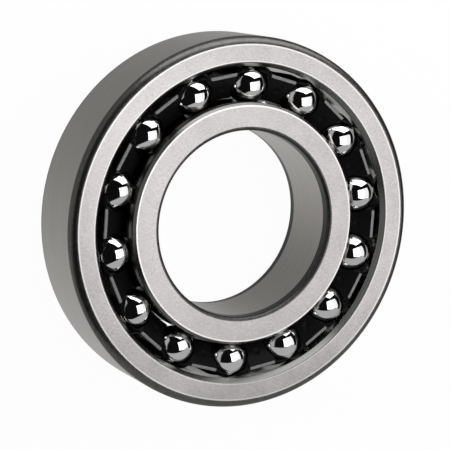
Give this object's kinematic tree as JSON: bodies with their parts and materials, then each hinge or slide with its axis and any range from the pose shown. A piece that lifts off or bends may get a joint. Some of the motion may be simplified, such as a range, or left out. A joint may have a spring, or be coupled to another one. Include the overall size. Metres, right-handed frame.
{
  "type": "self-aligning ball bearing",
  "caption": "Double-row self-aligning ball bearing: grooved inner ring, outer ring with one spherical raceway, steel balls in a moulded black snap cage, open on both sides.",
  "frame": {"origin": "centre of the bearing, on its axis in the middle plane between the two rows", "axes": "+Z along the bearing's axis; the part lies on its side face, and the face of the picture is up"},
  "size_m": [0.08, 0.08, 0.018],
  "materials": {
    "ring_steel": "fine-ground bearing steel, satin",
    "ball_steel": "lapped bearing steel, mirror bright",
    "cage_plastic": "moulded black polyamide, semi-gloss"
  },
  "bodies": {
    "outer_ring": {"outer_ring": "ring_steel"},
    "inner_ring": {"inner_ring": "ring_steel"},
    "cage": {"cage": "cage_plastic"},
    "ball_front_01": {"ball_front_01": "ball_steel"},
    "ball_front_02": {"ball_front_02": "ball_steel"},
    "ball_front_03": {"ball_front_03": "ball_steel"},
    "ball_front_04": {"ball_front_04": "ball_steel"},
    "ball_front_05": {"ball_front_05": "ball_steel"},
    "ball_front_06": {"ball_front_06": "ball_steel"},
    "ball_front_07": {"ball_front_07": "ball_steel"},
    "ball_front_08": {"ball_front_08": "ball_steel"},
    "ball_front_09": {"ball_front_09": "ball_steel"},
    "ball_front_10": {"ball_front_10": "ball_steel"},
    "ball_front_11": {"ball_front_11": "ball_steel"},
    "ball_front_12": {"ball_front_12": "ball_steel"},
    "ball_front_13": {"ball_front_13": "ball_steel"},
    "ball_front_14": {"ball_front_14": "ball_steel"},
    "ball_rear_01": {"ball_rear_01": "ball_steel"},
    "ball_rear_02": {"ball_rear_02": "ball_steel"},
    "ball_rear_03": {"ball_rear_03": "ball_steel"},
    "ball_rear_04": {"ball_rear_04": "ball_steel"},
    "ball_rear_05": {"ball_rear_05": "ball_steel"},
    "ball_rear_06": {"ball_rear_06": "ball_steel"},
    "ball_rear_07": {"ball_rear_07": "ball_steel"},
    "ball_rear_08": {"ball_rear_08": "ball_steel"},
    "ball_rear_09": {"ball_rear_09": "ball_steel"},
    "ball_rear_10": {"ball_rear_10": "ball_steel"},
    "ball_rear_11": {"ball_rear_11": "ball_steel"},
    "ball_rear_12": {"ball_rear_12": "ball_steel"},
    "ball_rear_13": {"ball_rear_13": "ball_steel"},
    "ball_rear_14": {"ball_rear_14": "ball_steel"}
  },
  "joints": [
    {"name": "inner_ring_spin", "type": "hinge", "parent": "outer_ring", "child": "inner_ring", "pos_m": [0, 0, 0], "axis": [0, 0, 1], "continuous": true},
    {"name": "cage_orbit", "type": "hinge", "parent": "outer_ring", "child": "cage", "pos_m": [0, 0, 0], "axis": [0, 0, 1], "continuous": true},
    {"name": "ball_front_01_roll", "type": "hinge", "parent": "cage", "child": "ball_front_01", "pos_m": [0.0291, 0.00664, 0.0042], "axis": [-0.1358, -0.031, 0.9902], "continuous": true},
    {"name": "ball_front_02_roll", "type": "hinge", "parent": "cage", "child": "ball_front_02", "pos_m": [0.02334, 0.01861, 0.0042], "axis": [-0.1089, -0.0869, 0.9902], "continuous": true},
    {"name": "ball_front_03_roll", "type": "hinge", "parent": "cage", "child": "ball_front_03", "pos_m": [0.01295, 0.02689, 0.0042], "axis": [-0.0605, -0.1255, 0.9902], "continuous": true},
    {"name": "ball_front_04_roll", "type": "hinge", "parent": "cage", "child": "ball_front_04", "pos_m": [0, 0.02985, 0.0042], "axis": [0, -0.1393, 0.9902], "continuous": true},
    {"name": "ball_front_05_roll", "type": "hinge", "parent": "cage", "child": "ball_front_05", "pos_m": [-0.01295, 0.02689, 0.0042], "axis": [0.0605, -0.1255, 0.9902], "continuous": true},
    {"name": "ball_front_06_roll", "type": "hinge", "parent": "cage", "child": "ball_front_06", "pos_m": [-0.02334, 0.01861, 0.0042], "axis": [0.1089, -0.0869, 0.9902], "continuous": true},
    {"name": "ball_front_07_roll", "type": "hinge", "parent": "cage", "child": "ball_front_07", "pos_m": [-0.0291, 0.00664, 0.0042], "axis": [0.1358, -0.031, 0.9902], "continuous": true},
    {"name": "ball_front_08_roll", "type": "hinge", "parent": "cage", "child": "ball_front_08", "pos_m": [-0.0291, -0.00664, 0.0042], "axis": [0.1358, 0.031, 0.9902], "continuous": true},
    {"name": "ball_front_09_roll", "type": "hinge", "parent": "cage", "child": "ball_front_09", "pos_m": [-0.02334, -0.01861, 0.0042], "axis": [0.1089, 0.0869, 0.9902], "continuous": true},
    {"name": "ball_front_10_roll", "type": "hinge", "parent": "cage", "child": "ball_front_10", "pos_m": [-0.01295, -0.02689, 0.0042], "axis": [0.0605, 0.1255, 0.9902], "continuous": true},
    {"name": "ball_front_11_roll", "type": "hinge", "parent": "cage", "child": "ball_front_11", "pos_m": [0, -0.02985, 0.0042], "axis": [0, 0.1393, 0.9902], "continuous": true},
    {"name": "ball_front_12_roll", "type": "hinge", "parent": "cage", "child": "ball_front_12", "pos_m": [0.01295, -0.02689, 0.0042], "axis": [-0.0605, 0.1255, 0.9902], "continuous": true},
    {"name": "ball_front_13_roll", "type": "hinge", "parent": "cage", "child": "ball_front_13", "pos_m": [0.02334, -0.01861, 0.0042], "axis": [-0.1089, 0.0869, 0.9902], "continuous": true},
    {"name": "ball_front_14_roll", "type": "hinge", "parent": "cage", "child": "ball_front_14", "pos_m": [0.0291, -0.00664, 0.0042], "axis": [-0.1358, 0.031, 0.9902], "continuous": true},
    {"name": "ball_rear_01_roll", "type": "hinge", "parent": "cage", "child": "ball_rear_01", "pos_m": [0.02985, 0, -0.0042], "axis": [0.1393, 0, 0.9902], "continuous": true},
    {"name": "ball_rear_02_roll", "type": "hinge", "parent": "cage", "child": "ball_rear_02", "pos_m": [0.02689, 0.01295, -0.0042], "axis": [0.1255, 0.0605, 0.9902], "continuous": true},
    {"name": "ball_rear_03_roll", "type": "hinge", "parent": "cage", "child": "ball_rear_03", "pos_m": [0.01861, 0.02334, -0.0042], "axis": [0.0869, 0.1089, 0.9902], "continuous": true},
    {"name": "ball_rear_04_roll", "type": "hinge", "parent": "cage", "child": "ball_rear_04", "pos_m": [0.00664, 0.0291, -0.0042], "axis": [0.031, 0.1358, 0.9902], "continuous": true},
    {"name": "ball_rear_05_roll", "type": "hinge", "parent": "cage", "child": "ball_rear_05", "pos_m": [-0.00664, 0.0291, -0.0042], "axis": [-0.031, 0.1358, 0.9902], "continuous": true},
    {"name": "ball_rear_06_roll", "type": "hinge", "parent": "cage", "child": "ball_rear_06", "pos_m": [-0.01861, 0.02334, -0.0042], "axis": [-0.0869, 0.1089, 0.9902], "continuous": true},
    {"name": "ball_rear_07_roll", "type": "hinge", "parent": "cage", "child": "ball_rear_07", "pos_m": [-0.02689, 0.01295, -0.0042], "axis": [-0.1255, 0.0605, 0.9902], "continuous": true},
    {"name": "ball_rear_08_roll", "type": "hinge", "parent": "cage", "child": "ball_rear_08", "pos_m": [-0.02985, 0, -0.0042], "axis": [-0.1393, 0, 0.9902], "continuous": true},
    {"name": "ball_rear_09_roll", "type": "hinge", "parent": "cage", "child": "ball_rear_09", "pos_m": [-0.02689, -0.01295, -0.0042], "axis": [-0.1255, -0.0605, 0.9902], "continuous": true},
    {"name": "ball_rear_10_roll", "type": "hinge", "parent": "cage", "child": "ball_rear_10", "pos_m": [-0.01861, -0.02334, -0.0042], "axis": [-0.0869, -0.1089, 0.9902], "continuous": true},
    {"name": "ball_rear_11_roll", "type": "hinge", "parent": "cage", "child": "ball_rear_11", "pos_m": [-0.00664, -0.0291, -0.0042], "axis": [-0.031, -0.1358, 0.9902], "continuous": true},
    {"name": "ball_rear_12_roll", "type": "hinge", "parent": "cage", "child": "ball_rear_12", "pos_m": [0.00664, -0.0291, -0.0042], "axis": [0.031, -0.1358, 0.9902], "continuous": true},
    {"name": "ball_rear_13_roll", "type": "hinge", "parent": "cage", "child": "ball_rear_13", "pos_m": [0.01861, -0.02334, -0.0042], "axis": [0.0869, -0.1089, 0.9902], "continuous": true},
    {"name": "ball_rear_14_roll", "type": "hinge", "parent": "cage", "child": "ball_rear_14", "pos_m": [0.02689, -0.01295, -0.0042], "axis": [0.1255, -0.0605, 0.9902], "continuous": true}
  ],
  "couplings": [
    {"joint": "cage_orbit", "follows": "inner_ring_spin", "ratio": 0.42759},
    {"joint": "ball_front_01_roll", "follows": "inner_ring_spin", "ratio": -3.3471},
    {"joint": "ball_front_02_roll", "follows": "inner_ring_spin", "ratio": -3.3471},
    {"joint": "ball_front_03_roll", "follows": "inner_ring_spin", "ratio": -3.3471},
    {"joint": "ball_front_04_roll", "follows": "inner_ring_spin", "ratio": -3.3471},
    {"joint": "ball_front_05_roll", "follows": "inner_ring_spin", "ratio": -3.3471},
    {"joint": "ball_front_06_roll", "follows": "inner_ring_spin", "ratio": -3.3471},
    {"joint": "ball_front_07_roll", "follows": "inner_ring_spin", "ratio": -3.3471},
    {"joint": "ball_front_08_roll", "follows": "inner_ring_spin", "ratio": -3.3471},
    {"joint": "ball_front_09_roll", "follows": "inner_ring_spin", "ratio": -3.3471},
    {"joint": "ball_front_10_roll", "follows": "inner_ring_spin", "ratio": -3.3471},
    {"joint": "ball_front_11_roll", "follows": "inner_ring_spin", "ratio": -3.3471},
    {"joint": "ball_front_12_roll", "follows": "inner_ring_spin", "ratio": -3.3471},
    {"joint": "ball_front_13_roll", "follows": "inner_ring_spin", "ratio": -3.3471},
    {"joint": "ball_front_14_roll", "follows": "inner_ring_spin", "ratio": -3.3471},
    {"joint": "ball_rear_01_roll", "follows": "inner_ring_spin", "ratio": -3.3471},
    {"joint": "ball_rear_02_roll", "follows": "inner_ring_spin", "ratio": -3.3471},
    {"joint": "ball_rear_03_roll", "follows": "inner_ring_spin", "ratio": -3.3471},
    {"joint": "ball_rear_04_roll", "follows": "inner_ring_spin", "ratio": -3.3471},
    {"joint": "ball_rear_05_roll", "follows": "inner_ring_spin", "ratio": -3.3471},
    {"joint": "ball_rear_06_roll", "follows": "inner_ring_spin", "ratio": -3.3471},
    {"joint": "ball_rear_07_roll", "follows": "inner_ring_spin", "ratio": -3.3471},
    {"joint": "ball_rear_08_roll", "follows": "inner_ring_spin", "ratio": -3.3471},
    {"joint": "ball_rear_09_roll", "follows": "inner_ring_spin", "ratio": -3.3471},
    {"joint": "ball_rear_10_roll", "follows": "inner_ring_spin", "ratio": -3.3471},
    {"joint": "ball_rear_11_roll", "follows": "inner_ring_spin", "ratio": -3.3471},
    {"joint": "ball_rear_12_roll", "follows": "inner_ring_spin", "ratio": -3.3471},
    {"joint": "ball_rear_13_roll", "follows": "inner_ring_spin", "ratio": -3.3471},
    {"joint": "ball_rear_14_roll", "follows": "inner_ring_spin", "ratio": -3.3471}
  ]
}
